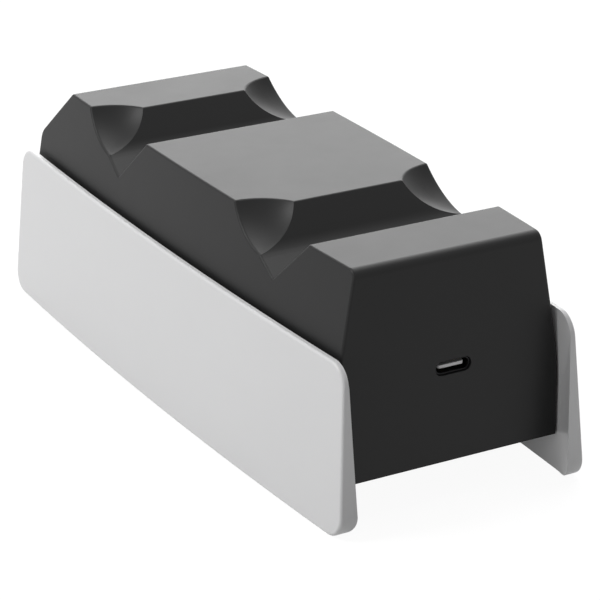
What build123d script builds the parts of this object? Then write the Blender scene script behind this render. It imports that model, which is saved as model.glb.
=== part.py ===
"""Charging dock that holds two game controllers, one behind the other.

A black moulded body stands between two white side panels. Its top has two V-shaped bays,
each with a flared rear wall that clears a controller's grips. The body's sides are bowed
in plan: every side surface turns about one far vertical axis, and the panels and their
grip strips turn about the same axis, so they nest at a constant gap.

Units are millimetres. X is the width, Y the length with the power socket at the -Y end,
Z is up. The origin is on the table under the middle of the side panels.
"""

import os
from math import asin, atan2, cos, degrees, hypot, radians, sin, sqrt, tan

from build123d import *

os.makedirs("parts", exist_ok=True)

# Body, seen from the side
BODY_BOTTOM = 9.3
BODY_TOP = 58.8
NEAR_END_Y = -77.4
NEAR_FACE_SETBACK = 1.0
PLATEAU_END_Y = 61.7
FAR_END_Y = 77.6
FAR_SLOPE_BOTTOM = 44.5
NEAR_TOP_RADIUS = 2.2
FAR_TOP_RADIUS = 1.6
FAR_BEND_RADIUS = 4.0

# Body, seen from the end
BASE_HALF_WIDTH = 31.3
TOP_HALF_WIDTH = 25.9
BEND_HEIGHT = 27.9
BEND_RADIUS = 60.0
WALL = 2.2
EDGE_RADIUS = 0.6

# Bow of the sides in plan
BOW_RADIUS = 1534.0
BOW_CENTRE_Y = 5.6

# Controller bays
BAY_PITCH = 76.4
BAY_NEAR_RIM_Y = -58.3
BAY_VALLEY_Y = -46.4
BAY_VALLEY_DEPTH = 11.6
BAY_FLOOR_RISE = 26.5
BAY_WALL_FOOT_Y = -39.2
BAY_WALL_RIM_Y = -33.2
BAY_FOOT_RADIUS = 8.0
SCOOP_X = 26.3
SCOOP_BEHIND_RIM = 6.8
SCOOP_ARC_RADIUS = 20.0
SCOOP_ARC_RISE = 11.6
SCOOP_ARC_OVERREACH = 2.45

# Side panels
PANEL_BOTTOM = 0.2
PANEL_TOP = 39.8
PANEL_BOTTOM_HALF_LENGTH = 85.0
PANEL_TOP_HALF_LENGTH = 82.0
PANEL_GAP = 0.3
PANEL_KINK_HEIGHT = 23.0
PANEL_TOP_GAP = 1.45
PANEL_BOTTOM_THICKNESS = 3.0
PANEL_TOP_THICKNESS = 1.4
PANEL_UPPER_CORNER = 5.5
PANEL_LOWER_CORNER = 5.0
PANEL_OUTER_EDGE = 0.7
PANEL_LIP_REACH = 3.0
PANEL_LIP_RADIUS = 17.0
PANEL_LIP_BITE = 0.5
PEG_RADIUS = 2.6
PEG_HEIGHT = 20.5
PEG_SPACING = 46.0
PEG_SCREW_LENGTH = 4.0
PEG_COLLAR_RADIUS = 4.5
PEG_BITE = 0.8
PAD_RADIUS = 5.2
PAD_STANDOFF = 1.2

# Grip strips
STRIP_WIDTH = 1.4
STRIP_DEPTH = 0.8
STRIP_HALF_LENGTH = 76.0

# Base cover
COVER_THICKNESS = 2.0
COVER_RIB_HEIGHT = 3.0
COVER_RIB_THICKNESS = 1.4
COVER_RIB_X = 11.0
COVER_RIB_HALF_LENGTH = 56.0
COVER_POST_X = 22.6
COVER_POST_YS = (-66.0, -12.0, 66.0)
COVER_POST_RADIUS = 3.3
COVER_POST_TOP = 24.5
COVER_RECESS_DEPTH = 1.0
GUSSET_THICKNESS = 1.6

# Fits
SEAM = 0.15
PEG_FIT = 0.15
THREAD_FIT = 0.05
BLOCK_FIT = 0.15
RECESS_FIT = 0.3

# Screws
SCREW_RADIUS = 1.25
SCREW_HEAD_RADIUS = 2.3
SCREW_HEAD_HEIGHT = 1.7
SCREW_LENGTH = 8.0
SHORT_SCREW_LENGTH = 5.0
WASHER_HEAD_RADIUS = 3.9
WASHER_HEIGHT = 0.8
DRIVE_RADIUS = 1.0
DRIVE_DEPTH = 1.0
PILOT_SPARE = 1.0

# Power socket in the near face
SOCKET_X = 1.2
SOCKET_HEIGHT = 31.8
SHELL_WIDTH = 8.94
SHELL_HEIGHT = 3.16
SHELL_WALL = 0.3
SHELL_LENGTH = 7.35
SHELL_RECESS = 0.5
SHELL_FIT = 0.18
SHELL_TAB_WIDTH = 1.1
SHELL_TAB_THICKNESS = 0.3
SHELL_TAB_DROP = 2.0
SHELL_TAB_OFFSETS = (2.9, 6.4)
TONGUE_WIDTH = 6.69
TONGUE_THICKNESS = 0.7
TONGUE_SETBACK = 0.5
INSULATOR_DEPTH = 2.0
CONTACT_COUNT = 12
CONTACT_PITCH = 0.5
CONTACT_WIDTH = 0.26
CONTACT_LENGTH = 3.4
CONTACT_THICKNESS = 0.08

# Main circuit board
BOARD_THICKNESS = 1.6
BOARD_WIDTH = 44.0
BOARD_LENGTH = 58.0
BOARD_CORNER = 2.0
BOARD_END_GAP = 0.5
BOARD_POST_X = 18.2
BOARD_POST_INSET = 4.0
BOARD_POST_RADIUS = 2.9

# Contact sets in the bay valleys
BLOCK_WIDTH = 17.0
BLOCK_DEPTH = 5.0
BLOCK_Y = -44.3
BLOCK_TOP_BELOW_PLATEAU = 8.4
BLOCK_CORNER = 0.8
FLANGE_WIDTH = 34.0
FLANGE_DEPTH = 12.0
FLANGE_THICKNESS = 1.5
FLANGE_TOP_BELOW_PLATEAU = 14.4
CONTACT_BOARD_THICKNESS = 1.2
CONTACT_SCREW_X = 13.2
CONTACT_SCREW_SHIFT = 2.6
TERMINAL_COUNT = 4
TERMINAL_PITCH = 3.2
TERMINAL_WIDTH = 1.2
TERMINAL_THICKNESS = 0.6
TERMINAL_TIP_SHARE = 0.45
TERMINAL_RISE = 1.7
TERMINAL_TAIL = 1.2

# Charge indicators in the far face
INDICATOR_SPACING = 11.0
INDICATOR_HEIGHT = 33.0
LIGHT_PIPE_LENGTH = 6.0
LIGHT_PIPE_WIDTH = 2.0
LIGHT_PIPE_FLANGE = 0.9
LIGHT_PIPE_FLANGE_THICKNESS = 0.8
LIGHT_PIPE_FIT = 0.05
INDICATOR_BOARD_WIDTH = 34.0
INDICATOR_BOARD_HEIGHT = 10.0
INDICATOR_BOARD_THICKNESS = 1.2
INDICATOR_BOSS_LENGTH = 4.4
INDICATOR_BOSS_RADIUS = 2.6
INDICATOR_SCREW_X = 13.0
LED_LENGTH = 3.2
LED_WIDTH = 1.6
LED_HEIGHT = 1.4

# Parts on the main board, placed from its middle
CHIP_SIZE = (4.9, 3.9, 1.5)
CHIP_LEG = (0.4, 1.0, 0.8)
CHIP_LEG_PITCH = 1.27
CHIP_LEGS_A_SIDE = 4
CHIP_SPACING = 22.0
CHIP_SHIFT = 2.0
COIL_SIZE = (5.2, 5.2, 3.0)
COIL_CORNER = 1.0
COIL_SHIFT = 11.0
CAN_RADIUS = 2.5
CAN_HEIGHT = 5.4
CAN_SHIFT = -12.0
CAN_SPACING = 28.0
SMALL_PART_SIZE = (1.6, 0.8, 0.6)
SMALL_PART_PITCH = 2.6
SMALL_PART_COUNT = 4
RESISTOR_SHIFT = -4.0
CERAMIC_SHIFT = -8.0

# Leads
LEAD_RADIUS = 0.6
LEAD_FIT = 0.05
JOINT_RADIUS = 1.1
JOINT_HEIGHT = 0.7
LEAD_BEND = 7.2
LEAD_BEND_SHARE = 0.45
LEAD_HEIGHT = 4.6
BAY_LEAD_X = 3.0
BAY_LEAD_SHIFT = 4.0
LEAD_SAG = 1.5
LEAD_SWAY = 1.0
NEAR_LEAD_START_Y = -28.5
FAR_LEAD_START = (6.5, -21.5)
INDICATOR_LEAD_START = (10.6, -19.5)
INDICATOR_LEAD_PITCH = 2.4
INDICATOR_LEAD_DROP = 2.5
INDICATOR_LEAD_RUN_OUT = 8.0
INDICATOR_LEAD_COUNT = 3

# Values worked out from the sizes above
SIDE_LEAN = atan2(BASE_HALF_WIDTH - TOP_HALF_WIDTH, BODY_TOP - BEND_HEIGHT)
PANEL_INNER = BASE_HALF_WIDTH + PANEL_GAP
PANEL_INNER_TOP = BASE_HALF_WIDTH - (PANEL_TOP - BEND_HEIGHT) * tan(SIDE_LEAN) + PANEL_TOP_GAP
BAY_VALLEY_Z = BODY_TOP - BAY_VALLEY_DEPTH
BAY_FOOT_Z = BAY_VALLEY_Z + (BAY_WALL_FOOT_Y - BAY_VALLEY_Y) * tan(radians(BAY_FLOOR_RISE))
BAY_SHIFTS = (0.0, BAY_PITCH)
COVER_TOP = BODY_BOTTOM + COVER_THICKNESS
CAVITY_FAR_Y = FAR_END_Y - WALL
FORM_BOTTOM = BODY_BOTTOM - 4 * WALL
FORM_TOP = BODY_TOP + 3 * WALL
BOARD_TOP = SOCKET_HEIGHT - SHELL_HEIGHT / 2
BOARD_BOTTOM = BOARD_TOP - BOARD_THICKNESS
SETBACK_AT_SOCKET = NEAR_FACE_SETBACK * (SOCKET_HEIGHT - BODY_BOTTOM) / (BODY_TOP - BODY_BOTTOM)
SOCKET_FACE_Y = NEAR_END_Y + SETBACK_AT_SOCKET
SHELL_FRONT_Y = SOCKET_FACE_Y + SHELL_RECESS
BOARD_NEAR_Y = SOCKET_FACE_Y + WALL + BOARD_END_GAP
BOARD_FAR_Y = BOARD_NEAR_Y + BOARD_LENGTH
BOARD_MID_Y = (BOARD_NEAR_Y + BOARD_FAR_Y) / 2
BLOCK_TOP = BODY_TOP - BLOCK_TOP_BELOW_PLATEAU
FLANGE_TOP = BODY_TOP - FLANGE_TOP_BELOW_PLATEAU
FLANGE_BOTTOM = FLANGE_TOP - FLANGE_THICKNESS
CONTACT_BOARD_BOTTOM = FLANGE_BOTTOM - CONTACT_BOARD_THICKNESS
INDICATOR_BOARD_FAR_Y = CAVITY_FAR_Y - INDICATOR_BOSS_LENGTH
INDICATOR_BOARD_NEAR_Y = INDICATOR_BOARD_FAR_Y - INDICATOR_BOARD_THICKNESS
PEG_PLACES = [(side, BOW_CENTRE_Y + step * PEG_SPACING) for side in (-1, 1) for step in (-1, 0, 1)]
COVER_SCREW_PLACES = [(side * COVER_POST_X, y) for side in (-1, 1) for y in COVER_POST_YS]
BOARD_POST_PLACES = [
    (side * BOARD_POST_X, y)
    for side in (-1, 1)
    for y in (BOARD_NEAR_Y + BOARD_POST_INSET, BOARD_FAR_Y - BOARD_POST_INSET)
]


def save(shape, name):
    """Write one sub-part under its node's name."""
    export_step(shape, f"parts/{name}.step")


def side_x(half_width, y):
    """Half-width of a bowed side at y, where it is `half_width` at the middle of the bow."""
    radius = BOW_RADIUS - BASE_HALF_WIDTH + half_width
    return sqrt(radius**2 - (y - BOW_CENTRE_Y) ** 2) - (BOW_RADIUS - BASE_HALF_WIDTH)


def turned(section):
    """Sweep a section of the right side about the bow's axis, past both ends."""
    axis = Axis((BASE_HALF_WIDTH - BOW_RADIUS, BOW_CENTRE_Y, 0), (0, 0, 1))
    half_arc = degrees(asin((PANEL_BOTTOM_HALF_LENGTH + 2 * abs(BOW_CENTRE_Y)) / BOW_RADIUS))
    placed = Pos(0, BOW_CENTRE_Y, 0) * (Plane.XZ * section)
    return revolve(placed, axis=axis, revolution_arc=2 * half_arc).rotate(axis, -half_arc)


def both_sides(shape):
    """A shape and its mirror image on the other side."""
    return shape + mirror(shape, about=Plane.YZ)


def along_x(face, half_length):
    """Extrude a face drawn in (y, z) both ways along X."""
    return extrude(Plane.YZ * face, amount=half_length, both=True)


def slab(bottom, top):
    """Everything between two heights."""
    reach = 4 * PANEL_BOTTOM_HALF_LENGTH
    return Pos(0, 0, (bottom + top) / 2) * Box(reach, reach, top - bottom)


def corner_near(face, x, y):
    """The vertex of a face that lies nearest to a place."""
    return min(face.vertices(), key=lambda vertex: hypot(vertex.X - x, vertex.Y - y))


def half_section(inset):
    """Right half of the body's cross-section, moved in by `inset`, from below to above it."""
    side = BASE_HALF_WIDTH - inset
    bend_z = BEND_HEIGHT - inset * tan(SIDE_LEAN / 2)
    top_x = side - (FORM_TOP - bend_z) * tan(SIDE_LEAN)
    core = -BASE_HALF_WIDTH / 3
    face = Polygon(
        (core, FORM_BOTTOM),
        (side, FORM_BOTTOM),
        (side, bend_z),
        (top_x, FORM_TOP),
        (core, FORM_TOP),
        align=None,
    )
    return fillet(corner_near(face, side, bend_z), BEND_RADIUS - inset)


def long_section(inset):
    """The body seen from the side, moved in by `inset`, open-ended below."""
    low_setback = NEAR_FACE_SETBACK * (FORM_BOTTOM - BODY_BOTTOM) / (BODY_TOP - BODY_BOTTOM)
    face = Polygon(
        (NEAR_END_Y + low_setback, FORM_BOTTOM),
        (NEAR_END_Y + NEAR_FACE_SETBACK, BODY_TOP),
        (PLATEAU_END_Y, BODY_TOP),
        (FAR_END_Y, FAR_SLOPE_BOTTOM),
        (FAR_END_Y, FORM_BOTTOM),
        align=None,
    )
    if inset:
        return offset(face, -inset, kind=Kind.INTERSECTION)
    face = fillet(corner_near(face, NEAR_END_Y + NEAR_FACE_SETBACK, BODY_TOP), NEAR_TOP_RADIUS)
    face = fillet(corner_near(face, PLATEAU_END_Y, BODY_TOP), FAR_TOP_RADIUS)
    return fillet(corner_near(face, FAR_END_Y, FAR_SLOPE_BOTTOM), FAR_BEND_RADIUS)


def body_form(inset, bottom, top):
    """The body's outer form moved in by `inset`, between two heights."""
    sides = both_sides(turned(half_section(inset)))
    form = sides & along_x(long_section(inset), 2 * BASE_HALF_WIDTH)
    return form & slab(bottom, top)


def bay_section():
    """A bay seen from the side: near slope, valley, rising floor and steep rear wall."""
    face = Polygon(
        (BAY_NEAR_RIM_Y, BODY_TOP),
        (BAY_VALLEY_Y, BAY_VALLEY_Z),
        (BAY_WALL_FOOT_Y, BAY_FOOT_Z),
        (BAY_WALL_RIM_Y, BODY_TOP),
        (BAY_WALL_RIM_Y, FORM_TOP),
        (BAY_NEAR_RIM_Y, FORM_TOP),
        align=None,
    )
    return fillet(corner_near(face, BAY_WALL_FOOT_Y, BAY_FOOT_Z), BAY_FOOT_RADIUS)


def scoop(grow):
    """The bowl that flares one end of a bay's rear wall, grown by `grow`."""
    radius = SCOOP_ARC_RADIUS + grow
    centre_z = BODY_TOP + SCOOP_ARC_RISE
    tip_z = centre_z - sqrt(radius**2 - SCOOP_ARC_OVERREACH**2)
    rim_r = sqrt(radius**2 - SCOOP_ARC_RISE**2) - SCOOP_ARC_OVERREACH
    profile = Polyline((rim_r, BODY_TOP), (rim_r, FORM_TOP), (0, FORM_TOP), (0, tip_z))
    bowl = RadiusArc((0, tip_z), (rim_r, BODY_TOP), -radius)
    face = make_face(profile + bowl)
    centre = Pos(SCOOP_X, BAY_WALL_RIM_Y - SCOOP_BEHIND_RIM, 0)
    return centre * revolve(Plane.XZ * face, axis=Axis.Z)


def bay_cutter(grow):
    """Everything that one bay takes out of the body, grown by `grow`."""
    face = bay_section()
    if grow:
        face = offset(face, grow, kind=Kind.ARC)
    trough = along_x(face, 2 * BASE_HALF_WIDTH)
    return trough + both_sides(scoop(grow))


def post(radius, place, bottom, top):
    """A round upright post."""
    return Pos(place[0], place[1], (bottom + top) / 2) * Cylinder(radius, top - bottom)


def peg(radius, side, y, inner, outer):
    """A round bar along X on one side, between two half-widths."""
    return Pos(side * (inner + outer) / 2, y, PEG_HEIGHT) * Rot(0, 90, 0) * Cylinder(radius, outer - inner)


def obround(width, height, length):
    """A slot-shaped bar along Y, from y = 0 to y = length."""
    return extrude(Plane.XZ * SlotOverall(width, height), amount=-length)


def pad_face_x(y):
    """Half-width of the flat screw pad inside the body's side at y."""
    return side_x(BASE_HALF_WIDTH - WALL, y) - PAD_STANDOFF


def side_of(place):
    """Which side of the dock a place is on, as -1 or 1."""
    return 1 if place[0] > 0 else -1


def along_y(shape, x, y, z):
    """Stand a shape that was made along +Z on a wall, pointing along +Y."""
    return Pos(x, y, z) * Rot(-90, 0, 0) * shape


def web(place, bottom, top):
    """A thin upright web from a post's middle out to the body's side."""
    reach = BASE_HALF_WIDTH - abs(place[0])
    middle_x = side_of(place) * (BASE_HALF_WIDTH + abs(place[0])) / 2
    return Pos(middle_x, place[1], (bottom + top) / 2) * Box(reach, GUSSET_THICKNESS, top - bottom)


def body_fittings():
    """Posts, webs, screw pads and seats inside the body, before they are cut to its form."""
    fittings = []
    for place in COVER_SCREW_PLACES:
        fittings.append(post(COVER_POST_RADIUS, place, COVER_TOP, COVER_POST_TOP))
        fittings.append(web(place, COVER_TOP, COVER_POST_TOP))
    for place in BOARD_POST_PLACES:
        fittings.append(post(BOARD_POST_RADIUS, place, BOARD_TOP, BODY_TOP - WALL / 2))
        fittings.append(web(place, BOARD_TOP, BODY_TOP - WALL / 2))
    for side, y in PEG_PLACES:
        fittings.append(peg(PAD_RADIUS, side, y, pad_face_x(y), side_x(BASE_HALF_WIDTH, y) - WALL / 2))
    seat_height = BAY_VALLEY_DEPTH / 2 + BAY_VALLEY_Z - FLANGE_TOP
    for shift in BAY_SHIFTS:
        seat = Box(FLANGE_WIDTH, FLANGE_DEPTH, seat_height)
        fittings.append(Pos(0, BLOCK_Y + shift, FLANGE_TOP + seat_height / 2) * seat)
    boss_length = INDICATOR_BOSS_LENGTH + WALL / 2
    boss = Pos(0, 0, boss_length / 2) * Cylinder(INDICATOR_BOSS_RADIUS, boss_length)
    for side in (-1, 1):
        fittings.append(along_y(boss, side * INDICATOR_SCREW_X, INDICATOR_BOARD_FAR_Y, INDICATOR_HEIGHT))
    return fittings


def body_holes():
    """Every hole, window and opening in the body."""
    holes = []
    thread = SCREW_RADIUS + THREAD_FIT
    for place in COVER_SCREW_PLACES:
        depth = SCREW_LENGTH - COVER_THICKNESS + COVER_RECESS_DEPTH + PILOT_SPARE
        holes.append(post(thread, place, COVER_TOP, COVER_TOP + depth))
    for place in BOARD_POST_PLACES:
        holes.append(post(thread, place, BOARD_TOP, BOARD_TOP + SCREW_LENGTH - BOARD_THICKNESS + PILOT_SPARE))
    for side, y in PEG_PLACES:
        holes.append(peg(PEG_RADIUS + PEG_FIT, side, y, pad_face_x(y) - 1, BASE_HALF_WIDTH + 1))
    contact_depth = SHORT_SCREW_LENGTH - FLANGE_THICKNESS - CONTACT_BOARD_THICKNESS + PILOT_SPARE / 2
    window_height = BODY_TOP - FLANGE_BOTTOM
    window = Box(BLOCK_WIDTH + 2 * BLOCK_FIT, BLOCK_DEPTH + 2 * BLOCK_FIT, window_height)
    for shift in BAY_SHIFTS:
        holes.append(Pos(0, BLOCK_Y + shift, FLANGE_BOTTOM + window_height / 2) * window)
        for x in (-CONTACT_SCREW_X, CONTACT_SCREW_X):
            place = (x, BLOCK_Y + CONTACT_SCREW_SHIFT + shift)
            holes.append(post(thread, place, FLANGE_TOP, FLANGE_TOP + contact_depth))
    socket_hole = obround(SHELL_WIDTH + 2 * SHELL_FIT, SHELL_HEIGHT + 2 * SHELL_FIT, 3 * WALL)
    holes.append(Pos(SOCKET_X, SOCKET_FACE_Y - WALL, SOCKET_HEIGHT) * socket_hole)
    slot_length = LIGHT_PIPE_LENGTH + 2 * LIGHT_PIPE_FIT
    light_slot = obround(slot_length, LIGHT_PIPE_WIDTH + 2 * LIGHT_PIPE_FIT, 3 * WALL)
    pilot_length = INDICATOR_BOSS_LENGTH - PILOT_SPARE / 2
    pilot = Pos(0, 0, pilot_length / 2) * Cylinder(thread, pilot_length)
    for side in (-1, 1):
        holes.append(Pos(side * INDICATOR_SPACING / 2, CAVITY_FAR_Y - WALL, INDICATOR_HEIGHT) * light_slot)
        holes.append(along_y(pilot, side * INDICATOR_SCREW_X, INDICATOR_BOARD_FAR_Y, INDICATOR_HEIGHT))
    return holes


def is_rounded_edge(edge):
    """Whether an edge of the body with its bays cut is one that the mould rounds."""
    middle = edge.center()
    if edge.bounding_box().min.Z > BODY_TOP - SEAM:
        return NEAR_END_Y + NEAR_TOP_RADIUS + WALL < middle.Y < PLATEAU_END_Y - FAR_TOP_RADIUS / 2
    if middle.Z < BODY_BOTTOM + SEAM or edge.length > FAR_END_Y:
        return False
    if middle.Y < BAY_NEAR_RIM_Y or middle.Y > PLATEAU_END_Y - FAR_TOP_RADIUS:
        return abs(middle.X) > BLOCK_WIDTH
    side = side_x(BASE_HALF_WIDTH, middle.Y) - (middle.Z - BEND_HEIGHT) * tan(SIDE_LEAN)
    return abs(middle.X) > side - WALL / 2


def make_housing(outer):
    """The body: one thin-walled moulding, open below, with rounded rims and side edges."""
    cavity = body_form(WALL, FORM_BOTTOM, BODY_TOP)
    form = outer
    for shift in BAY_SHIFTS:
        cavity -= Pos(0, shift, 0) * bay_cutter(WALL)
        form -= Pos(0, shift, 0) * bay_cutter(0)
    fittings = Part() + body_fittings()
    housing = fillet(form.edges().filter_by(is_rounded_edge), EDGE_RADIUS) - cavity
    housing += fittings & form
    return housing - body_holes()


def make_base_cover():
    """Flat moulded cover that closes the body from below, with stiffening ribs inside."""
    cover = body_form(WALL + SEAM, BODY_BOTTOM, COVER_TOP)
    long_rib = Box(COVER_RIB_THICKNESS, 2 * COVER_RIB_HALF_LENGTH, COVER_RIB_HEIGHT)
    cross_rib = Box(2 * COVER_RIB_X, COVER_RIB_THICKNESS, COVER_RIB_HEIGHT)
    rib_z = COVER_TOP + COVER_RIB_HEIGHT / 2
    for side in (-1, 1):
        cover += Pos(side * COVER_RIB_X, 0, rib_z) * long_rib
    for step in (-1, 0, 1):
        cover += Pos(0, step * (COVER_RIB_HALF_LENGTH - COVER_RIB_THICKNESS / 2), rib_z) * cross_rib
    for place in COVER_SCREW_PLACES:
        cover -= post(SCREW_RADIUS + RECESS_FIT, place, BODY_BOTTOM, COVER_TOP)
        cover -= post(SCREW_HEAD_RADIUS + RECESS_FIT, place, BODY_BOTTOM, BODY_BOTTOM + COVER_RECESS_DEPTH)
    return cover


def panel_section():
    """A side panel's cross-section: upright inside, thicker towards the table outside."""
    return Polygon(
        (PANEL_INNER, PANEL_BOTTOM),
        (PANEL_INNER + PANEL_BOTTOM_THICKNESS, PANEL_BOTTOM),
        (PANEL_INNER_TOP + PANEL_TOP_THICKNESS, PANEL_TOP),
        (PANEL_INNER_TOP, PANEL_TOP),
        (PANEL_INNER, PANEL_KINK_HEIGHT),
        align=None,
    )


def panel_lip(end, end_y):
    """What curls in behind a side panel's end, past the body's end face at `end_y`."""
    section = Polygon(
        (PANEL_INNER - PANEL_LIP_REACH, PANEL_BOTTOM),
        (PANEL_INNER + PANEL_LIP_BITE, PANEL_BOTTOM),
        (PANEL_INNER + PANEL_LIP_BITE, PANEL_KINK_HEIGHT),
        (PANEL_INNER_TOP + PANEL_LIP_BITE, PANEL_TOP),
        (PANEL_INNER - PANEL_LIP_REACH, PANEL_TOP),
        align=None,
    )
    reach = PANEL_BOTTOM_HALF_LENGTH
    beyond = Pos(0, end_y + end * reach / 2, 0) * Box(4 * BASE_HALF_WIDTH, reach, 4 * PANEL_TOP)
    turn = asin((end_y - BOW_CENTRE_Y) / (BOW_RADIUS + PANEL_GAP))
    centre_r = BOW_RADIUS + PANEL_GAP - PANEL_LIP_RADIUS
    centre_x = BASE_HALF_WIDTH - BOW_RADIUS + centre_r * cos(turn)
    hollow = Pos(centre_x, BOW_CENTRE_Y + centre_r * sin(turn), 0) * Cylinder(PANEL_LIP_RADIUS, 4 * PANEL_TOP)
    return (turned(section) & beyond) - hollow


def panel_outline():
    """A side panel seen from the side, with rounded corners."""
    face = Polygon(
        (-PANEL_BOTTOM_HALF_LENGTH, PANEL_BOTTOM),
        (PANEL_BOTTOM_HALF_LENGTH, PANEL_BOTTOM),
        (PANEL_TOP_HALF_LENGTH, PANEL_TOP),
        (-PANEL_TOP_HALF_LENGTH, PANEL_TOP),
        align=None,
    )
    for side in (-1, 1):
        face = fillet(corner_near(face, side * PANEL_BOTTOM_HALF_LENGTH, PANEL_BOTTOM), PANEL_LOWER_CORNER)
        face = fillet(corner_near(face, side * PANEL_TOP_HALF_LENGTH, PANEL_TOP), PANEL_UPPER_CORNER)
    return face


def strip_form(fit):
    """A grip strip let into the right panel's bottom edge, or its groove with `fit` all round."""
    middle = PANEL_INNER + PANEL_BOTTOM_THICKNESS / 2
    half_width = STRIP_WIDTH / 2 + fit
    top = PANEL_BOTTOM + STRIP_DEPTH
    section = Polygon(
        (middle - half_width, 0),
        (middle + half_width, 0),
        (middle + half_width, top),
        (middle - half_width, top),
        align=None,
    )
    return turned(section) & Box(4 * BASE_HALF_WIDTH, 2 * (STRIP_HALF_LENGTH + fit), 4 * top)


def make_right_panel(outer):
    """The right side panel, with the screw pegs that pass into the body."""
    panel = turned(panel_section()) + panel_lip(-1, NEAR_END_Y) + panel_lip(1, FAR_END_Y)
    panel &= along_x(panel_outline(), 2 * BASE_HALF_WIDTH)
    outer_face = panel.faces().sort_by(lambda face: face.center().X)[-1]
    panel = fillet(outer_face.edges(), PANEL_OUTER_EDGE)
    panel -= strip_form(THREAD_FIT)
    for side, y in PEG_PLACES:
        if side < 0:
            continue
        body_x = side_x(BASE_HALF_WIDTH, y)
        root_x = side_x(PANEL_INNER, y) + PEG_BITE
        panel += peg(PEG_COLLAR_RADIUS, side, y, body_x - PEG_BITE, root_x) - outer
        panel += peg(PEG_RADIUS, side, y, pad_face_x(y) + SEAM, root_x)
        panel -= peg(SCREW_RADIUS + THREAD_FIT, side, y, pad_face_x(y), root_x)
    return panel


def screw(length, washer_radius=0.0):
    """Pan-head screw along +Z: what it clamps starts at z = 0, its head lies below."""
    shape = Pos(0, 0, length / 2) * Cylinder(SCREW_RADIUS, length)
    seat = 0.0
    if washer_radius:
        seat = WASHER_HEIGHT
        shape += Pos(0, 0, -seat / 2) * Cylinder(washer_radius, seat)
    head = Pos(0, 0, -seat - SCREW_HEAD_HEIGHT / 2) * Cylinder(SCREW_HEAD_RADIUS, SCREW_HEAD_HEIGHT)
    head = chamfer(head.edges().group_by(Axis.Z)[0], SCREW_HEAD_HEIGHT / 3)
    slot = Box(2 * DRIVE_RADIUS, DRIVE_RADIUS / 2, DRIVE_DEPTH)
    cross = slot + Rot(0, 0, 90) * slot
    return shape + head - Pos(0, 0, DRIVE_DEPTH / 2 - seat - SCREW_HEAD_HEIGHT) * cross


def group(shapes):
    """Several separate solids that share one node."""
    return Compound(children=shapes)


def make_peg_screws():
    """Washer-head screws that clamp the panels' pegs from inside the body."""
    one = screw(PEG_SCREW_LENGTH, WASHER_HEAD_RADIUS)
    screws = []
    for side, y in PEG_PLACES:
        screws.append(Pos(side * pad_face_x(y), y, PEG_HEIGHT) * Rot(0, 90 * side, 0) * one)
    return group(screws)


def make_cover_screws():
    """Screws that hold the base cover to the body's posts."""
    one = screw(SCREW_LENGTH)
    return group([Pos(x, y, BODY_BOTTOM + COVER_RECESS_DEPTH) * one for x, y in COVER_SCREW_PLACES])


def make_board_screws():
    """Screws that hold the main board up against its posts."""
    one = screw(SCREW_LENGTH)
    return group([Pos(x, y, BOARD_BOTTOM) * one for x, y in BOARD_POST_PLACES])


def shell_tab_places():
    """Middle of each of the socket shell's four mounting tabs."""
    reach = (SHELL_WIDTH - SHELL_TAB_THICKNESS) / 2
    return [(SOCKET_X + side * reach, SHELL_FRONT_Y + step) for side in (-1, 1) for step in SHELL_TAB_OFFSETS]


def make_main_board():
    """Main circuit board with screw holes and slots for the socket's tabs."""
    outline = RectangleRounded(BOARD_WIDTH, BOARD_LENGTH, BOARD_CORNER)
    board = Pos(0, BOARD_MID_Y, BOARD_BOTTOM) * extrude(outline, amount=BOARD_THICKNESS)
    for place in BOARD_POST_PLACES:
        board -= post(SCREW_RADIUS + RECESS_FIT, place, BOARD_BOTTOM, BOARD_TOP)
    slot = Box(SHELL_TAB_THICKNESS + 4 * THREAD_FIT, SHELL_TAB_WIDTH + 4 * THREAD_FIT, 3 * BOARD_THICKNESS)
    for x, y in shell_tab_places():
        board -= Pos(x, y, BOARD_TOP) * slot
    return board


def make_socket_shell():
    """Drawn metal shell of the power socket, with four tabs through the board."""
    shell = obround(SHELL_WIDTH, SHELL_HEIGHT, SHELL_LENGTH)
    shell -= obround(SHELL_WIDTH - 2 * SHELL_WALL, SHELL_HEIGHT - 2 * SHELL_WALL, SHELL_LENGTH)
    shell = Pos(SOCKET_X, SHELL_FRONT_Y, SOCKET_HEIGHT) * shell
    tab_height = SHELL_HEIGHT / 2 + SHELL_TAB_DROP
    tab = Box(SHELL_TAB_THICKNESS, SHELL_TAB_WIDTH, tab_height)
    for x, y in shell_tab_places():
        shell += Pos(x, y, SOCKET_HEIGHT - tab_height / 2) * tab
    return shell


def make_socket_insulator():
    """Moulded insulator at the back of the shell, with the thin tongue in its middle."""
    back = obround(SHELL_WIDTH - 2 * SHELL_WALL, SHELL_HEIGHT - 2 * SHELL_WALL, INSULATOR_DEPTH)
    tongue_length = SHELL_LENGTH - TONGUE_SETBACK - INSULATOR_DEPTH / 2
    tongue = RectangleRounded(TONGUE_WIDTH, tongue_length, TONGUE_THICKNESS)
    tongue = extrude(tongue, amount=TONGUE_THICKNESS / 2, both=True)
    shape = Pos(0, SHELL_LENGTH - INSULATOR_DEPTH, 0) * back
    shape += Pos(0, TONGUE_SETBACK + tongue_length / 2, 0) * tongue
    return Pos(SOCKET_X, SHELL_FRONT_Y, SOCKET_HEIGHT) * shape


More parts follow.
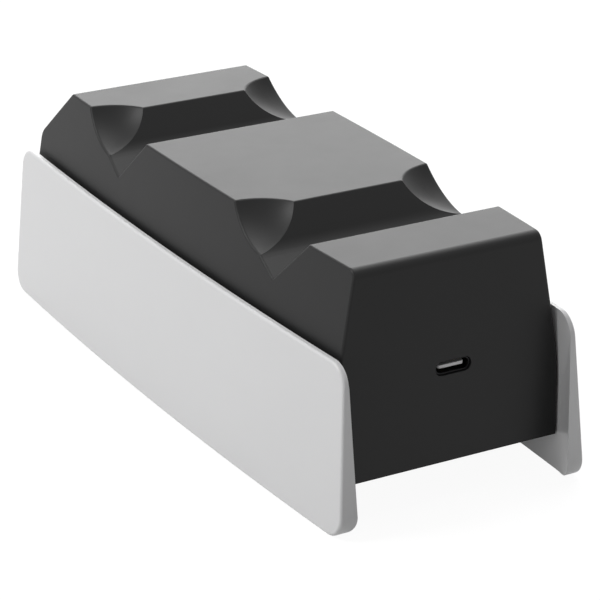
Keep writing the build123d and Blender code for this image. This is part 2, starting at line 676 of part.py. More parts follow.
def make_socket_contacts():
    """Two rows of gold contact strips, above and below the tongue."""
    strip = Box(CONTACT_WIDTH, CONTACT_LENGTH, CONTACT_THICKNESS)
    middle_y = SHELL_FRONT_Y + SHELL_LENGTH - INSULATOR_DEPTH - CONTACT_LENGTH / 2
    lift = (TONGUE_THICKNESS + CONTACT_THICKNESS) / 2
    strips = []
    for index in range(CONTACT_COUNT):
        x = SOCKET_X + (index - (CONTACT_COUNT - 1) / 2) * CONTACT_PITCH
        for side in (-1, 1):
            strips.append(Pos(x, middle_y, SOCKET_HEIGHT + side * lift) * strip)
    return group(strips)


def make_contact_block(shift):
    """Block that brings one bay's terminals up through its valley, with a flange below."""
    height = BLOCK_TOP - FLANGE_TOP
    block = extrude(RectangleRounded(BLOCK_WIDTH, BLOCK_DEPTH, BLOCK_CORNER), amount=height)
    block = fillet(block.edges().group_by(Axis.Z)[-1], BLOCK_CORNER / 2)
    flange = Pos(0, 0, -FLANGE_THICKNESS / 2) * Box(FLANGE_WIDTH, FLANGE_DEPTH, FLANGE_THICKNESS)
    shape = Pos(0, BLOCK_Y + shift, FLANGE_TOP) * (block + flange)
    for x in (-CONTACT_SCREW_X, CONTACT_SCREW_X):
        place = (x, BLOCK_Y + CONTACT_SCREW_SHIFT + shift)
        shape -= post(SCREW_RADIUS + RECESS_FIT, place, FLANGE_BOTTOM, FLANGE_TOP)
    return shape - terminals(shift, THREAD_FIT)


def make_contact_board(shift):
    """Small board under a contact block, which its terminals are soldered to."""
    middle = Pos(0, BLOCK_Y + shift, (FLANGE_BOTTOM + CONTACT_BOARD_BOTTOM) / 2)
    board = middle * Box(FLANGE_WIDTH, FLANGE_DEPTH, CONTACT_BOARD_THICKNESS)
    for x in (-CONTACT_SCREW_X, CONTACT_SCREW_X):
        place = (x, BLOCK_Y + CONTACT_SCREW_SHIFT + shift)
        board -= post(SCREW_RADIUS + RECESS_FIT, place, CONTACT_BOARD_BOTTOM, FLANGE_BOTTOM)
    return board - terminals(shift, THREAD_FIT)


def terminals(shift, fit):
    """The blade terminals of one bay as a list, grown by `fit` at the sides."""
    top = BLOCK_TOP + TERMINAL_RISE
    bottom = CONTACT_BOARD_BOTTOM - TERMINAL_TAIL
    blade = Box(TERMINAL_WIDTH + 2 * fit, TERMINAL_THICKNESS + 2 * fit, top - bottom)
    blades = []
    for index in range(TERMINAL_COUNT):
        x = (index - (TERMINAL_COUNT - 1) / 2) * TERMINAL_PITCH
        blades.append(Pos(x, BLOCK_Y + shift, (top + bottom) / 2) * blade)
    return blades


def make_terminals(shift):
    """Gold blade terminals of one bay, with rounded tips."""
    blades = []
    for blade in terminals(shift, 0):
        tip = blade.edges().filter_by(Axis.X).group_by(Axis.Z)[-1]
        blades.append(fillet(tip, TERMINAL_TIP_SHARE * TERMINAL_THICKNESS))
    return group(blades)


def make_contact_screws():
    """Screws that hold both contact boards and blocks to their seats."""
    one = screw(SHORT_SCREW_LENGTH)
    screws = []
    for shift in BAY_SHIFTS:
        for x in (-CONTACT_SCREW_X, CONTACT_SCREW_X):
            screws.append(Pos(x, BLOCK_Y + CONTACT_SCREW_SHIFT + shift, CONTACT_BOARD_BOTTOM) * one)
    return group(screws)


def make_indicator_board():
    """Upright board behind the far face that carries the charge lights."""
    middle_y = INDICATOR_BOARD_NEAR_Y + INDICATOR_BOARD_THICKNESS / 2
    plate = Box(INDICATOR_BOARD_WIDTH, INDICATOR_BOARD_THICKNESS, INDICATOR_BOARD_HEIGHT)
    board = Pos(0, middle_y, INDICATOR_HEIGHT) * plate
    drill = Cylinder(SCREW_RADIUS + RECESS_FIT, 3 * INDICATOR_BOARD_THICKNESS)
    for side in (-1, 1):
        board -= along_y(drill, side * INDICATOR_SCREW_X, middle_y, INDICATOR_HEIGHT)
    return board


def make_indicator_screws():
    """Screws that hold the indicator board to its bosses."""
    one = screw(SHORT_SCREW_LENGTH)
    return group([
        along_y(one, side * INDICATOR_SCREW_X, INDICATOR_BOARD_NEAR_Y, INDICATOR_HEIGHT) for side in (-1, 1)
    ])


def make_charge_lights():
    """One light for each bay, on the far side of the indicator board."""
    one = Box(LED_LENGTH, LED_HEIGHT, LED_WIDTH)
    y = INDICATOR_BOARD_FAR_Y + LED_HEIGHT / 2
    return group([Pos(side * INDICATOR_SPACING / 2, y, INDICATOR_HEIGHT) * one for side in (-1, 1)])


def make_light_pipes():
    """Clear slot-shaped lenses in the far face, each with a flange against the wall inside."""
    flange_width = LIGHT_PIPE_WIDTH + 2 * LIGHT_PIPE_FLANGE
    flange_length = LIGHT_PIPE_LENGTH + 2 * LIGHT_PIPE_FLANGE
    flange_y = CAVITY_FAR_Y - LIGHT_PIPE_FLANGE_THICKNESS
    stem_y = INDICATOR_BOARD_FAR_Y + LED_HEIGHT + LIGHT_PIPE_FIT
    window_length = FAR_END_Y - LIGHT_PIPE_FIT - flange_y
    lens = Pos(0, flange_y, 0) * obround(LIGHT_PIPE_LENGTH, LIGHT_PIPE_WIDTH, window_length)
    lens += Pos(0, flange_y, 0) * obround(flange_length, flange_width, LIGHT_PIPE_FLANGE_THICKNESS)
    lens += Pos(0, stem_y, 0) * obround(LED_LENGTH + LED_WIDTH, LED_WIDTH, flange_y - stem_y)
    return group([Pos(side * INDICATOR_SPACING / 2, 0, INDICATOR_HEIGHT) * lens for side in (-1, 1)])


def on_board(shape, x, shift, height):
    """Stand a part of a given height on the main board, `shift` beyond its middle."""
    return Pos(x, BOARD_MID_Y + shift, BOARD_TOP + height / 2) * shape


def make_charge_chips():
    """One charge controller chip for each bay."""
    chips = []
    for side in (-1, 1):
        chip = on_board(Box(*CHIP_SIZE), side * CHIP_SPACING / 2, CHIP_SHIFT, CHIP_SIZE[2])
        chips.append(Pos(0, 0, CHIP_LEG[2] / 2) * chip)
    return group(chips)


def make_chip_legs():
    """Bent legs along both long sides of each chip."""
    leg = Box(*CHIP_LEG)
    legs = []
    for chip_side in (-1, 1):
        for row in (-1, 1):
            for index in range(CHIP_LEGS_A_SIDE):
                along = (index - (CHIP_LEGS_A_SIDE - 1) / 2) * CHIP_LEG_PITCH
                x = chip_side * CHIP_SPACING / 2 + along
                shift = CHIP_SHIFT + row * (CHIP_SIZE[1] + CHIP_LEG[1]) / 2
                legs.append(on_board(leg, x, shift, CHIP_LEG[2]))
    return group(legs)


def make_coils():
    """Shielded power coil for each bay."""
    block = extrude(RectangleRounded(COIL_SIZE[0], COIL_SIZE[1], COIL_CORNER), amount=COIL_SIZE[2])
    return group([
        Pos(side * CHIP_SPACING / 2, BOARD_MID_Y + COIL_SHIFT, BOARD_TOP) * block for side in (-1, 1)
    ])


def make_can_capacitors():
    """Two round buffer capacitors near the socket."""
    can = Cylinder(CAN_RADIUS, CAN_HEIGHT)
    can = fillet(can.edges().group_by(Axis.Z)[-1], CAN_RADIUS / 6)
    return group([on_board(can, side * CAN_SPACING / 2, CAN_SHIFT, CAN_HEIGHT) for side in (-1, 1)])


def make_small_parts(shift):
    """A row of small surface-mounted parts beside each chip."""
    part = Box(*SMALL_PART_SIZE)
    parts = []
    for side in (-1, 1):
        for index in range(SMALL_PART_COUNT):
            x = side * CHIP_SPACING / 2 + (index - (SMALL_PART_COUNT - 1) / 2) * SMALL_PART_PITCH
            parts.append(on_board(part, x, shift, SMALL_PART_SIZE[2]))
    return group(parts)


def lead(points):
    """An insulated lead of straight runs and round bends through the points."""
    bends = []
    for before, here, after in zip(points, points[1:], points[2:]):
        run_in = Vector(*here) - Vector(*before)
        run_out = Vector(*after) - Vector(*here)
        turn = radians(run_in.get_angle(run_out))
        shorter = min(run_in.length, run_out.length)
        bends.append(min(LEAD_BEND_SHARE * shorter / tan(turn / 2), LEAD_BEND))
    path = FilletPolyline(*points, radius=bends)
    start = Plane(origin=path @ 0, z_dir=path % 0)
    return sweep(start * Circle(LEAD_RADIUS), path=path)


def bay_lead_ends(shift):
    """Where the two leads of a bay meet its contact board."""
    return [(side * BAY_LEAD_X, BLOCK_Y + BAY_LEAD_SHIFT + shift, CONTACT_BOARD_BOTTOM) for side in (-1, 1)]


def near_bay_lead(side):
    """Lead from the main board up to the near bay's contact board."""
    x, end_y, end_z = bay_lead_ends(0)[0 if side < 0 else 1]
    level = BOARD_TOP + LEAD_HEIGHT
    return [
        (x, NEAR_LEAD_START_Y, BOARD_TOP),
        (x, NEAR_LEAD_START_Y, level),
        (x, end_y, level + LEAD_SAG),
        (x, end_y, end_z),
    ]


def far_bay_lead(side):
    """Lead from the main board along the body to the far bay's contact board."""
    x, end_y, end_z = bay_lead_ends(BAY_PITCH)[0 if side < 0 else 1]
    start_x = side * FAR_LEAD_START[0]
    start_y = FAR_LEAD_START[1]
    level = BOARD_TOP + LEAD_HEIGHT
    return [
        (start_x, start_y, BOARD_TOP),
        (start_x, start_y, level),
        (start_x + side * LEAD_SWAY, (start_y + end_y) / 2, level - LEAD_SAG),
        (x, end_y, level + LEAD_SAG),
        (x, end_y, end_z),
    ]


def indicator_lead(index):
    """Lead from the main board along the body to the indicator board."""
    offset_x = (index - 1) * INDICATOR_LEAD_PITCH
    start_x = INDICATOR_LEAD_START[0] + offset_x
    start_y = INDICATOR_LEAD_START[1]
    end_y = INDICATOR_BOARD_NEAR_Y
    end_z = INDICATOR_HEIGHT - INDICATOR_LEAD_DROP
    level = BOARD_TOP + LEAD_HEIGHT - INDICATOR_LEAD_DROP
    return [
        (start_x, start_y, BOARD_TOP),
        (start_x, start_y, level),
        (start_x + LEAD_SWAY, (start_y + end_y) / 2, level - LEAD_SAG),
        (offset_x, end_y - INDICATOR_LEAD_RUN_OUT, end_z),
        (offset_x, end_y, end_z),
    ]


def solder_ring():
    """A ring of solder round a lead's end, standing on z = 0."""
    ring = Pos(0, 0, JOINT_HEIGHT / 2) * Cylinder(JOINT_RADIUS, JOINT_HEIGHT)
    ring = chamfer(ring.edges().group_by(Axis.Z)[-1], JOINT_HEIGHT / 2)
    return ring - Cylinder(LEAD_RADIUS + LEAD_FIT, 4 * JOINT_HEIGHT)


def make_solder_rings():
    """Solder at both ends of every lead."""
    up = solder_ring()
    down = Rot(180, 0, 0) * up
    back = Rot(90, 0, 0) * up
    rings = []
    for side in (-1, 1):
        for route in (near_bay_lead(side), far_bay_lead(side)):
            rings.append(Pos(*route[0]) * up)
            rings.append(Pos(*route[-1]) * down)
    for index in range(INDICATOR_LEAD_COUNT):
        route = indicator_lead(index)
        rings.append(Pos(*route[0]) * up)
        rings.append(Pos(*route[-1]) * back)
    return group(rings)


body = body_form(0, BODY_BOTTOM, BODY_TOP)
right_panel = make_right_panel(body)
right_strip = strip_form(0)

save(make_housing(body), "body_housing")
save(make_base_cover(), "base_cover")
save(right_panel, "right_side_panel")
save(mirror(right_panel, about=Plane.YZ), "left_side_panel")
save(right_strip, "right_grip_strip")
save(mirror(right_strip, about=Plane.YZ), "left_grip_strip")
save(make_peg_screws(), "panel_screws")
save(make_cover_screws(), "cover_screws")
save(make_main_board(), "main_board")
save(make_board_screws(), "board_screws")
save(make_socket_shell(), "socket_shell")
save(make_socket_insulator(), "socket_insulator")
save(make_socket_contacts(), "socket_contacts")
for bay_name, bay_shift in zip(("near", "far"), BAY_SHIFTS):
    save(make_contact_block(bay_shift), f"{bay_name}_contact_block")
    save(make_contact_board(bay_shift), f"{bay_name}_contact_board")
    save(make_terminals(bay_shift), f"{bay_name}_terminals")
save(make_contact_screws(), "contact_screws")
save(make_indicator_board(), "indicator_board")
save(make_indicator_screws(), "indicator_screws")
save(make_charge_lights(), "charge_lights")
save(make_light_pipes(), "light_pipes")
save(make_charge_chips(), "charge_chips")
save(make_chip_legs(), "chip_legs")
save(make_coils(), "power_coils")
save(make_can_capacitors(), "can_capacitors")
save(make_small_parts(CERAMIC_SHIFT), "ceramic_capacitors")
save(make_small_parts(RESISTOR_SHIFT), "resistors")
save(lead(near_bay_lead(-1)), "near_bay_black_lead")
save(lead(near_bay_lead(1)), "near_bay_red_lead")
save(lead(far_bay_lead(-1)), "far_bay_black_lead")
save(lead(far_bay_lead(1)), "far_bay_red_lead")
save(group([lead(indicator_lead(index)) for index in range(INDICATOR_LEAD_COUNT)]), "indicator_leads")
save(make_solder_rings(), "solder_joints")
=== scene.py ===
"""Finishes, stage, lights and camera for a charging dock that holds two game controllers.

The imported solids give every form. This script dresses each of them in a procedural finish
and stands the dock on a white studio floor. All lengths are metres, in the frame of the
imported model.
"""

import logging
import math
from dataclasses import dataclass
from enum import Enum
from typing import Any, Dict, List, Optional, Tuple, Union

import bmesh
import bpy
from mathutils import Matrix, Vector


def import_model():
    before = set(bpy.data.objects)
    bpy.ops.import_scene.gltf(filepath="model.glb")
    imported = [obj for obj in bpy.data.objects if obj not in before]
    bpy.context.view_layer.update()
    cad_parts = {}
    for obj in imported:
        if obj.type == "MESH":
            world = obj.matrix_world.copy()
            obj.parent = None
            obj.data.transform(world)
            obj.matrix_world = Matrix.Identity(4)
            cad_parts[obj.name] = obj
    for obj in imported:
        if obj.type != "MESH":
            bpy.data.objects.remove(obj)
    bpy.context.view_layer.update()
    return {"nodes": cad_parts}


LOG = logging.getLogger("dock")

Colour = Tuple[float, float, float]
Paint = Tuple[float, float, float, float]
Point = Tuple[float, float, float]

WHITE: Paint = (1.0, 1.0, 1.0, 1.0)

# Noise: the value that it varies about, and how many finer octaves it has.
NOISE_MIDDLE = 0.5
SMOOTH_NOISE = 2.0
FINE_NOISE = 3.0

# Places of a Mix node's sockets for colours, which share their names with others.
MIX_FACTOR = 0
MIX_LOW = 6
MIX_HIGH = 7
MIX_RESULT = 2


class Signal:
    """One output of a shader node, which takes part in Python arithmetic."""

    def __init__(self, tree: "ShaderTree", socket: Optional[bpy.types.NodeSocket]) -> None:
        """Keep the tree that the socket belongs to.

        Args:
            tree: The shader tree that new nodes are added to.
            socket: The output that this signal stands for, or None for a node without outputs.
        """
        self.tree = tree
        self.socket = socket

    def _math(self, operation: str, first: "Number", second: "Number") -> "Signal":
        """Add a Math node that works on two values.

        Args:
            operation: The Math node's operation.
            first: A signal or number.
            second: A signal or number.

        Returns:
            The node's output.
        """
        return self.tree.node("ShaderNodeMath", {"operation": operation}, {0: first, 1: second})

    def __add__(self, other: "Number") -> "Signal":
        """Sum of two values."""
        return self._math("ADD", self, other)

    __radd__ = __add__

    def __sub__(self, other: "Number") -> "Signal":
        """Difference of two values."""
        return self._math("SUBTRACT", self, other)

    def __rsub__(self, other: "Number") -> "Signal":
        """Difference of two values, with this one second."""
        return self._math("SUBTRACT", other, self)

    def __mul__(self, other: "Number") -> "Signal":
        """Product of two values."""
        return self._math("MULTIPLY", self, other)

    __rmul__ = __mul__

    def above(self, limit: float) -> "Signal":
        """1 where the value is above a limit, else 0."""
        return self._math("GREATER_THAN", self, limit)

    def larger(self, other: "Number") -> "Signal":
        """The larger of two values."""
        return self._math("MAXIMUM", self, other)

    def swing(self, reach: float) -> "Signal":
        """Noise turned into a change to either side of 0, scaled by a factor."""
        return (self - NOISE_MIDDLE) * reach


Number = Union[float, Signal]


class ShaderTree:
    """A node tree that is written as calls and expressions."""

    def __init__(self, tree: bpy.types.NodeTree) -> None:
        """Start with an empty tree.

        Args:
            tree: The node tree of a material or the world.
        """
        self.tree = tree
        self.tree.nodes.clear()

    def node(
        self,
        kind: str,
        settings: Optional[Dict[str, Any]] = None,
        sockets: Optional[Dict[Union[int, str], Any]] = None,
        output: Union[int, str] = 0,
    ) -> Signal:
        """Add one node.

        Args:
            kind: The node's type name.
            settings: Properties that are set first.
            sockets: A value or signal for each input that isn't left as it is, by the input's
                name, or by its place where names repeat.
            output: Which output is given back.

        Returns:
            The chosen output.
        """
        made = self.tree.nodes.new(kind)
        for name, value in (settings or {}).items():
            setattr(made, name, value)
        for name, value in (sockets or {}).items():
            if isinstance(value, Signal):
                self.tree.links.new(value.socket, made.inputs[name])
            else:
                made.inputs[name].default_value = value
        outputs = made.outputs
        return Signal(self, outputs[output] if len(outputs) else None)

    def object_point(self) -> Signal:
        """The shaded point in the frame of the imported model."""
        return self.node("ShaderNodeTexCoord", output="Object")

    def stretched(self, scale: Point) -> Signal:
        """The shaded point, stretched along the axes.

        Args:
            scale: Factor along each axis.

        Returns:
            The stretched point.
        """
        return self.node("ShaderNodeMapping", {}, {"Vector": self.object_point(), "Scale": scale})

    def noise(self, size: float, detail: float = SMOOTH_NOISE, point: Optional[Signal] = None) -> Signal:
        """Smooth noise about its middle value.

        Args:
            size: Size of its largest blotches.
            detail: How many finer octaves are added.
            point: Where it is read, the shaded point if none is given.

        Returns:
            The noise value.
        """
        sockets = {"Vector": point or self.object_point(), "Scale": 1 / size, "Detail": detail}
        return self.node("ShaderNodeTexNoise", {}, sockets)

    def tinted(self, factor: Number, low: Colour, high: Colour) -> Signal:
        """Mix of two colours.

        Args:
            factor: 0 gives the first colour and 1 the second.
            low: The first colour.
            high: The second colour.

        Returns:
            The mixed colour.
        """
        sockets = {MIX_FACTOR: factor, MIX_LOW: opaque(low), MIX_HIGH: opaque(high)}
        return self.node("ShaderNodeMix", {"data_type": "RGBA"}, sockets, output=MIX_RESULT)

    def bumped(self, height: Signal, depth: float) -> Signal:
        """Surface normal tilted by a height.

        Args:
            height: Height from 0 to 1.
            depth: How far a height of 1 stands out.

        Returns:
            The new normal.
        """
        return self.node("ShaderNodeBump", {}, {"Height": height, "Distance": depth})


def opaque(colour: Colour) -> Paint:
    """A colour with full cover."""
    return (*colour, 1.0)


def grey_paint(level: float) -> Paint:
    """A plain grey with full cover."""
    return opaque((level, level, level))


def shade(colour: Colour, factor: float) -> Colour:
    """A colour made lighter or darker by a factor."""
    return (colour[0] * factor, colour[1] * factor, colour[2] * factor)


MARK_STRETCH = 0.08


class Along(Enum):
    """Axis that drawn or plated marks run along, as the factors that stretch a pattern."""

    LENGTH = (1.0, MARK_STRETCH, 1.0)
    HEIGHT = (1.0, 1.0, MARK_STRETCH)


@dataclass(frozen=True)
class Finish:
    """What every finish has: a material slot of the record, a colour and a gloss."""

    slot: str
    colour: Colour
    roughness: float

    def material(self) -> bpy.types.Material:
        """The material, made once and then shared.

        Returns:
            The material that carries this finish.
        """
        name = f"{self.slot}_finish"
        found = bpy.data.materials.get(name)
        if found:
            return found
        made = bpy.data.materials.new(name)
        made.use_nodes = True
        made.diffuse_color = opaque(self.colour)
        tree = ShaderTree(made.node_tree)
        shader = tree.node("ShaderNodeBsdfPrincipled", {}, self.sockets(tree))
        tree.node("ShaderNodeOutputMaterial", {}, {"Surface": shader})
        return made

    def sockets(self, tree: ShaderTree) -> Dict[str, Any]:
        """Inputs of the Principled shader.

        Args:
            tree: The tree that the finish adds its nodes to.

        Returns:
            A value or signal for each input.
        """
        raise NotImplementedError


@dataclass(frozen=True)
class MouldedPlastic(Finish):
    """Injection-moulded plastic: fine grain from the tool, and gloss that drifts a little.

    Attributes:
        specular: Level of the mirror-like part.
        grain: Size of the grain.
        relief: Height of the grain.
        flow: Size of the broad patches, where the plastic flowed and cooled differently.
        drift: How far the roughness varies with those patches.
        mottle: How far the colour varies with them.
        rub: Size of the smaller patches that handling leaves.
        rub_share: Their change of roughness, as a share of the drift.
    """

    specular: float = 0.5
    grain: float = 0.0004
    relief: float = 0.000004
    flow: float = 0.02
    drift: float = 0.05
    mottle: float = 0.06
    rub: float = 0.004
    rub_share: float = 0.5

    def sockets(self, tree: ShaderTree) -> Dict[str, Any]:
        """Grain in the normal, drift in the gloss and a faint mottle in the colour."""
        grain = tree.noise(self.grain, FINE_NOISE)
        broad = tree.noise(self.flow, FINE_NOISE)
        rubbed = tree.noise(self.rub)
        colour = tree.tinted(broad, shade(self.colour, 1 - self.mottle), shade(self.colour, 1 + self.mottle))
        return {
            "Base Color": colour,
            "Roughness": self.roughness + broad.swing(self.drift) + rubbed.swing(self.drift * self.rub_share),
            "Specular IOR Level": self.specular,
            "Normal": tree.bumped(grain, self.relief),
        }


@dataclass(frozen=True)
class PlatedMetal(Finish):
    """Plated or drawn metal with fine marks along one axis.

    Attributes:
        marks: Width of the drawn marks.
        along: Axis that they run along.
        relief: Height of the marks.
        gloss_swing: How far the roughness varies with them.
        patch: Size of the patches of tarnish.
        tarnish: How much darker a patch is.
    """

    marks: float = 0.0002
    along: Along = Along.LENGTH
    relief: float = 0.000002
    gloss_swing: float = 0.2
    patch: float = 0.004
    tarnish: float = 0.12

    def sockets(self, tree: ShaderTree) -> Dict[str, Any]:
        """Drawn marks in gloss and normal, and patches of tarnish in the colour."""
        marks = tree.noise(self.marks, point=tree.stretched(self.along.value))
        patches = tree.noise(self.patch, FINE_NOISE)
        return {
            "Base Color": tree.tinted(patches, shade(self.colour, 1 - self.tarnish), self.colour),
            "Metallic": 1.0,
            "Roughness": self.roughness + marks.swing(self.gloss_swing),
            "Normal": tree.bumped(marks, self.relief),
        }


@dataclass(frozen=True)
class BoardLacquer(Finish):
    """Lacquered circuit board: copper tracks show through as paler lines.

    Attributes:
        track_pattern: Scale of the wave that lays out the tracks.
        track_level: The wave is a track above this level.
        gap_cell: Size of the cells whose middles have no tracks.
        gap_level: Distance in a cell, as a share, beyond which there are tracks.
        track_tint: How much paler a track is.
        weave: Size of the weave of the glass cloth.
        weave_swing: How far the roughness varies with the weave.
        weave_height: Height of the weave, as a share of the track's.
        relief: Height of a track.
        coat: Weight of the lacquer.
    """

    track_pattern: float = 0.024
    track_level: float = 0.55
    gap_cell: float = 0.006
    gap_level: float = 0.35
    track_tint: float = 1.7
    weave: float = 0.0004
    weave_swing: float = 0.08
    weave_height: float = 0.3
    relief: float = 0.00002
    coat: float = 0.4

    def sockets(self, tree: ShaderTree) -> Dict[str, Any]:
        """Tracks on a grid with gaps, weave of the glass cloth and a glossy coat."""
        point = tree.object_point()
        cells = {"Vector": point, "Scale": 1 / self.gap_cell, "Randomness": 1.0}
        groups = tree.node("ShaderNodeTexVoronoi", {"distance": "MANHATTAN"}, cells, output="Distance")
        lines = tree.node(
            "ShaderNodeTexWave",
            {"wave_type": "BANDS", "bands_direction": "DIAGONAL"},
            {"Vector": point, "Scale": 1 / self.track_pattern, "Distortion": 0.0},
        )
        tracks = lines.above(self.track_level) * groups.above(self.gap_level)
        weave = tree.noise(self.weave, point=tree.stretched(Along.LENGTH.value))
        return {
            "Base Color": tree.tinted(tracks, self.colour, shade(self.colour, self.track_tint)),
            "Roughness": self.roughness + weave.swing(self.weave_swing),
            "Coat Weight": self.coat,
            "Normal": tree.bumped(tracks + weave * self.weave_height, self.relief),
        }


@dataclass(frozen=True)
class FrostedClear(Finish):
    """Clear moulding with a frosted face that spreads the light behind it.

    Attributes:
        transmission: Share of the light that goes through.
        refraction: Index of refraction.
        frost: Size of the frosting.
        frost_swing: How far the roughness varies with the frosting.
        relief: Height of the frosting.
        cloud: Size of the faintly darker clouds.
        cloud_shade: Factor of their colour.
    """

    transmission: float = 0.75
    refraction: float = 1.49
    frost: float = 0.0002
    frost_swing: float = 0.1
    relief: float = 0.000003
    cloud: float = 0.002
    cloud_shade: float = 0.92

    def sockets(self, tree: ShaderTree) -> Dict[str, Any]:
        """Fine frosting in normal and gloss over a see-through body."""
        frost = tree.noise(self.frost)
        clouds = tree.noise(self.cloud)
        return {
            "Base Color": tree.tinted(clouds, shade(self.colour, self.cloud_shade), self.colour),
            "Roughness": self.roughness + frost.swing(self.frost_swing),
            "Transmission Weight": self.transmission,
            "IOR": self.refraction,
            "Normal": tree.bumped(frost, self.relief),
        }


BLACK_HOUSING = MouldedPlastic("black_housing", (0.016, 0.016, 0.0162), 0.43, specular=0.2)
BLACK_COVER = MouldedPlastic("black_cover", (0.014, 0.014, 0.0145), 0.55, specular=0.3, grain=0.0006)
WHITE_PANEL = MouldedPlastic(
    "white_panel", (0.76, 0.76, 0.765), 0.38, specular=0.4, relief=0.000002, drift=0.04, mottle=0.012
)
GRIP_RUBBER = MouldedPlastic("grip_rubber", (0.045, 0.045, 0.046), 0.8, specular=0.25, grain=0.0003)
SCREW_STEEL = PlatedMetal("screw_steel", (0.52, 0.52, 0.53), 0.34)
CIRCUIT_BOARD = BoardLacquer("circuit_board", (0.02, 0.16, 0.06), 0.35)
SHELL_STEEL = PlatedMetal("shell_steel", (0.02, 0.02, 0.021), 0.42)
# The dark insulator is painted pale grey: a painted highlight that makes the tongue bar show bright in the
# shaded socket.
INSULATOR_PAINTED_HIGHLIGHT = MouldedPlastic("dark_insulator", (0.85, 0.85, 0.85), 0.45)
GOLD_CONTACT = PlatedMetal("gold_contact", (0.83, 0.62, 0.27), 0.25, along=Along.HEIGHT)
BLACK_BLOCK = MouldedPlastic("black_block", (0.02, 0.02, 0.021), 0.5, specular=0.35)
LIGHT_BODY = MouldedPlastic("light_body", (0.82, 0.8, 0.66), 0.3)
CLEAR_LENS = FrostedClear("clear_lens", (0.86, 0.88, 0.9), 0.35)
CHIP_BLACK = MouldedPlastic("chip_black", (0.03, 0.03, 0.031), 0.6, grain=0.0002)
TIN = PlatedMetal("tin", (0.66, 0.66, 0.64), 0.38)
COIL_GREY = MouldedPlastic("coil_grey", (0.16, 0.16, 0.17), 0.65, grain=0.0003)
CAN_ALUMINIUM = PlatedMetal("can_aluminium", (0.78, 0.78, 0.79), 0.32, along=Along.HEIGHT)
CERAMIC_TAN = MouldedPlastic("ceramic_tan", (0.46, 0.34, 0.22), 0.4, grain=0.0002)
BLACK_LEAD = MouldedPlastic("black_lead", (0.025, 0.025, 0.025), 0.45)
RED_LEAD = MouldedPlastic("red_lead", (0.5, 0.035, 0.025), 0.42)
WHITE_LEAD = MouldedPlastic("white_lead", (0.74, 0.74, 0.72), 0.42)


@dataclass
class SubAssembly:
    """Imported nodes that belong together, and the finish of each."""

    nodes: Dict[str, bpy.types.Object]

    def finishes(self) -> Dict[str, Finish]:
        """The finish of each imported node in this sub-assembly."""
        raise NotImplementedError

    def build(self) -> None:
        """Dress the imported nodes."""
        for name, finish in self.finishes().items():
            piece = self.nodes[name]
            piece.data.materials.clear()
            piece.data.materials.append(finish.material())
            LOG.info("%s: %s", name, finish.slot)


@dataclass
class Enclosure(SubAssembly):
    """The moulded body, the cover that closes it from below, and the cover's screws."""

    def finishes(self) -> Dict[str, Finish]:
        """Black mouldings and steel screws."""
        return {"body_housing": BLACK_HOUSING, "base_cover": BLACK_COVER, "cover_screws": SCREW_STEEL}


@dataclass
class SidePanels(SubAssembly):
    """The two white panels, their grip strips and the screws that clamp their pegs."""

    def finishes(self) -> Dict[str, Finish]:
        """White mouldings, dark rubber and steel."""
        return {
            "left_side_panel": WHITE_PANEL,
            "right_side_panel": WHITE_PANEL,
            "left_grip_strip": GRIP_RUBBER,
            "right_grip_strip": GRIP_RUBBER,
            "panel_screws": SCREW_STEEL,
        }


@dataclass
class PowerSocket(SubAssembly):
    """The socket in the near face."""

    def finishes(self) -> Dict[str, Finish]:
        """Darkened shell, dark insulator with a painted highlight in pale grey, and gold strips."""
        return {
            "socket_shell": SHELL_STEEL,
            "socket_insulator": INSULATOR_PAINTED_HIGHLIGHT,
            "socket_contacts": GOLD_CONTACT,
        }


@dataclass
class ControlBoard(SubAssembly):
    """The main circuit board and what stands on it."""

    def finishes(self) -> Dict[str, Finish]:
        """Lacquered board with its parts."""
        return {
            "main_board": CIRCUIT_BOARD,
            "board_screws": SCREW_STEEL,
            "charge_chips": CHIP_BLACK,
            "chip_legs": TIN,
            "power_coils": COIL_GREY,
            "can_capacitors": CAN_ALUMINIUM,
            "ceramic_capacitors": CERAMIC_TAN,
            "resistors": CHIP_BLACK,
        }


@dataclass
class ContactSets(SubAssembly):
    """The charging contacts in both bays."""

    def finishes(self) -> Dict[str, Finish]:
        """The same finishes in the near and the far bay."""
        found: Dict[str, Finish] = {"contact_screws": SCREW_STEEL}
        for bay in ("near", "far"):
            found[f"{bay}_contact_block"] = BLACK_BLOCK
            found[f"{bay}_contact_board"] = CIRCUIT_BOARD
            found[f"{bay}_terminals"] = GOLD_CONTACT
        return found


@dataclass
class ChargeIndicators(SubAssembly):
    """The two charge lights behind the far face."""

    def finishes(self) -> Dict[str, Finish]:
        """Board, lights and frosted lenses."""
        return {
            "indicator_board": CIRCUIT_BOARD,
            "indicator_screws": SCREW_STEEL,
            "charge_lights": LIGHT_BODY,
            "light_pipes": CLEAR_LENS,
        }


@dataclass
class Wiring(SubAssembly):
    """The leads inside the body and the solder at their ends."""

    def finishes(self) -> Dict[str, Finish]:
        """Coloured insulation and dull tin."""
        return {
            "near_bay_black_lead": BLACK_LEAD,
            "near_bay_red_lead": RED_LEAD,
            "far_bay_black_lead": BLACK_LEAD,
            "far_bay_red_lead": RED_LEAD,
            "indicator_leads": WHITE_LEAD,
            "solder_joints": TIN,
        }


